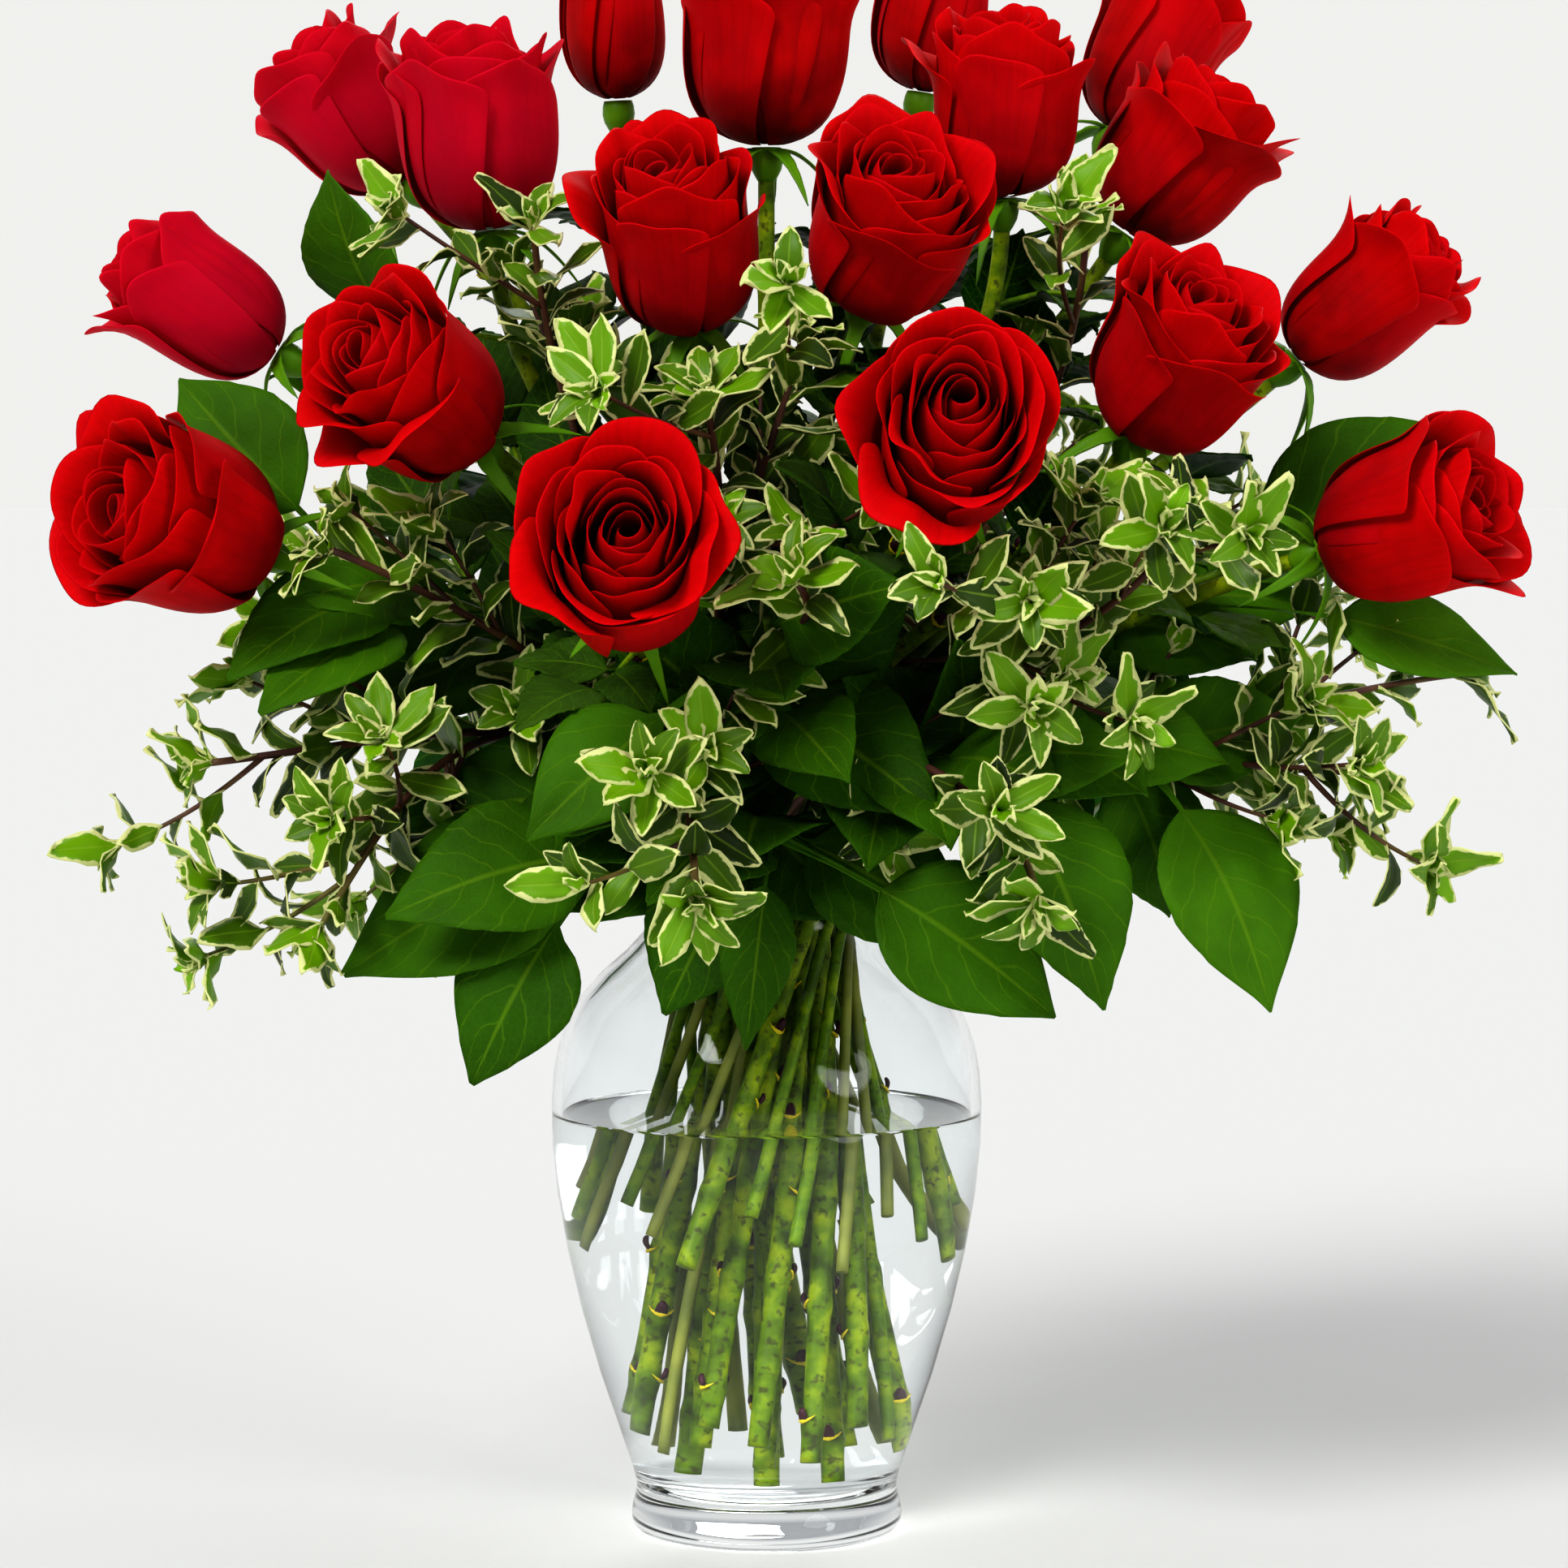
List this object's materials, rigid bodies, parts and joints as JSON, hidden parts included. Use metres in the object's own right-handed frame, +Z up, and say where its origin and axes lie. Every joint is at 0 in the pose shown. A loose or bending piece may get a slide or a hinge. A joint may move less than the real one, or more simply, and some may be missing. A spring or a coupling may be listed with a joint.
{
  "type": "roses in a vase",
  "caption": "Long-stemmed red roses with glossy lemon-leaf branches and variegated leafy sprays, standing in water in a clear urn-shaped glass vase.",
  "frame": {"origin": "middle of the vase's foot, on the table", "axes": "+Z up out of the vase, +X to the right of the arrangement's front, +Y to its back"},
  "size_m": [0.443, 0.3064, 0.5043],
  "materials": {
    "glass": "clear, polished",
    "water": "clear, still",
    "petal": "velvety, deep red",
    "rose_green": "satin green",
    "lemon_leaf": "glossy leaf green",
    "spray_leaf": "satin green with cream edges"
  },
  "bodies": {
    "root": {"lemon_leaf_back_left": "lemon_leaf", "lemon_leaf_back_right": "lemon_leaf", "lemon_leaf_front": "lemon_leaf", "lemon_leaf_front_left": "lemon_leaf", "lemon_leaf_front_right": "lemon_leaf", "lemon_leaf_left": "lemon_leaf", "lemon_leaf_middle": "lemon_leaf", "lemon_leaf_right": "lemon_leaf", "lemon_leaf_right_low": "lemon_leaf", "lemon_leaf_top_left": "lemon_leaf", "rose_01_bloom": "petal", "rose_01_stem": "rose_green", "rose_02_bloom": "petal", "rose_02_stem": "rose_green", "rose_03_bloom": "petal", "rose_03_stem": "rose_green", "rose_04_bloom": "petal", "rose_04_stem": "rose_green", "rose_05_bloom": "petal", "rose_05_stem": "rose_green", "rose_06_bloom": "petal", "rose_06_stem": "rose_green", "rose_07_bloom": "petal", "rose_07_stem": "rose_green", "rose_08_bloom": "petal", "rose_08_stem": "rose_green", "rose_09_bloom": "petal", "rose_09_stem": "rose_green", "rose_10_bloom": "petal", "rose_10_stem": "rose_green", "rose_11_bloom": "petal", "rose_11_stem": "rose_green", "rose_12_bloom": "petal", "rose_12_stem": "rose_green", "rose_13_bloom": "petal", "rose_13_stem": "rose_green", "rose_14_bloom": "petal", "rose_14_stem": "rose_green", "rose_15_bloom": "petal", "rose_15_stem": "rose_green", "rose_16_bloom": "petal", "rose_16_stem": "rose_green", "rose_17_bloom": "petal", "rose_17_stem": "rose_green", "rose_18_bloom": "petal", "rose_18_stem": "rose_green", "spray_back_left": "spray_leaf", "spray_back_right": "spray_leaf", "spray_front": "spray_leaf", "spray_front_mid": "spray_leaf", "spray_front_right": "spray_leaf", "spray_left": "spray_leaf", "spray_left_mid": "spray_leaf", "spray_right": "spray_leaf", "spray_right_mid": "spray_leaf", "spray_top_left": "spray_leaf", "spray_top_mid": "spray_leaf", "spray_top_right": "spray_leaf", "vase": "glass", "water": "water"}
  },
  "joints": []
}
